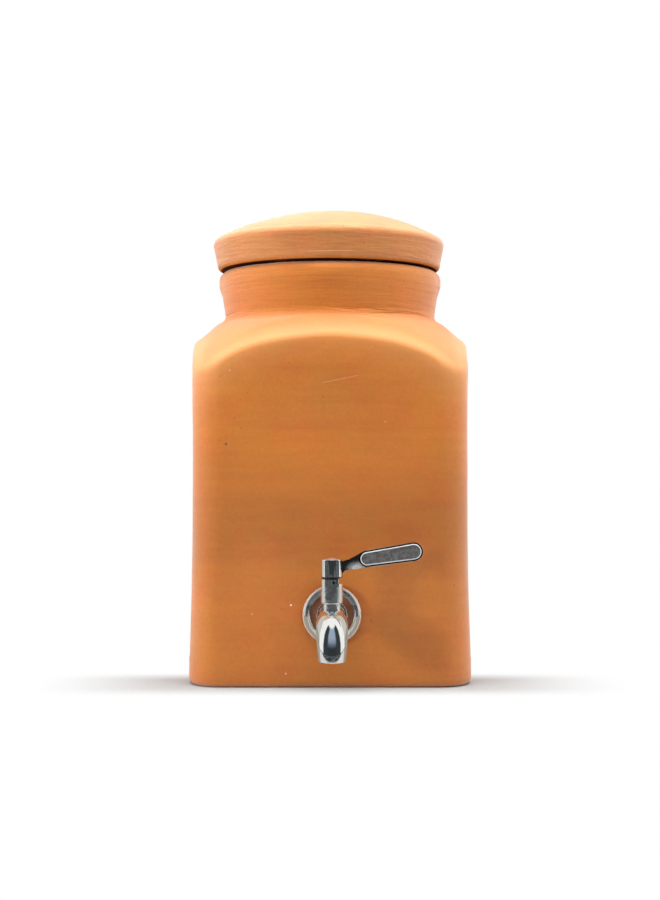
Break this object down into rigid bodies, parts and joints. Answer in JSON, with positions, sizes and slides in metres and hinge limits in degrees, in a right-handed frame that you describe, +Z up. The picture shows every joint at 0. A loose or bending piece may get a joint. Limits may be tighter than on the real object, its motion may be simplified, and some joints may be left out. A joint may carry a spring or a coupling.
{
  "type": "water jar with tap",
  "caption": "Rounded-square terracotta water jar with a domed lift-off lid and a steel quarter-turn lever tap low on the front face.",
  "frame": {"origin": "centre of the clay body's foot, on the surface it stands on", "axes": "+Z up, -Y towards the front face and its tap, +X to the right seen from the front, where the lever points when the tap is shut"},
  "size_m": [0.1992, 0.2494, 0.3442],
  "materials": {
    "clay": "unglazed fired terracotta, matt, hand-smoothed",
    "clay_lid": "unglazed fired terracotta, matt, a little paler than the body",
    "polished_steel": "mirror-polished stainless steel",
    "plain_steel": "plain machined stainless steel",
    "rubber_washer": "matt red-brown food-grade rubber",
    "valve_plastic": "white low-friction plastic",
    "grip_panel": "grey finely textured matt panel"
  },
  "bodies": {
    "jar": {"jar_body": "clay", "tap_body": "polished_steel", "dress_ring": "polished_steel", "outer_washer": "rubber_washer", "inner_washer": "rubber_washer", "plain_washer": "plain_steel", "lock_nut": "plain_steel", "valve_seat": "valve_plastic", "thrust_washer": "valve_plastic", "retaining_ring": "plain_steel", "lock_screw": "plain_steel"},
    "lid": {"lid": "clay_lid"},
    "lever": {"lever": "polished_steel", "inlay_front": "grip_panel", "inlay_back": "grip_panel", "hub_cap": "polished_steel", "lever_screw": "plain_steel", "stop_pin": "plain_steel", "valve_plug": "plain_steel", "plug_o_rings": "rubber_washer"}
  },
  "joints": [
    {"name": "lid_lift", "type": "slide", "parent": "jar", "child": "lid", "axis": [0, 0, 1], "range_m": [0, 0.08]},
    {"name": "lever_turn", "type": "hinge", "parent": "jar", "child": "lever", "pos_m": [0.0013, -0.12434, 0.0784], "axis": [0, 0, 1], "range_deg": [-90, 0]}
  ]
}
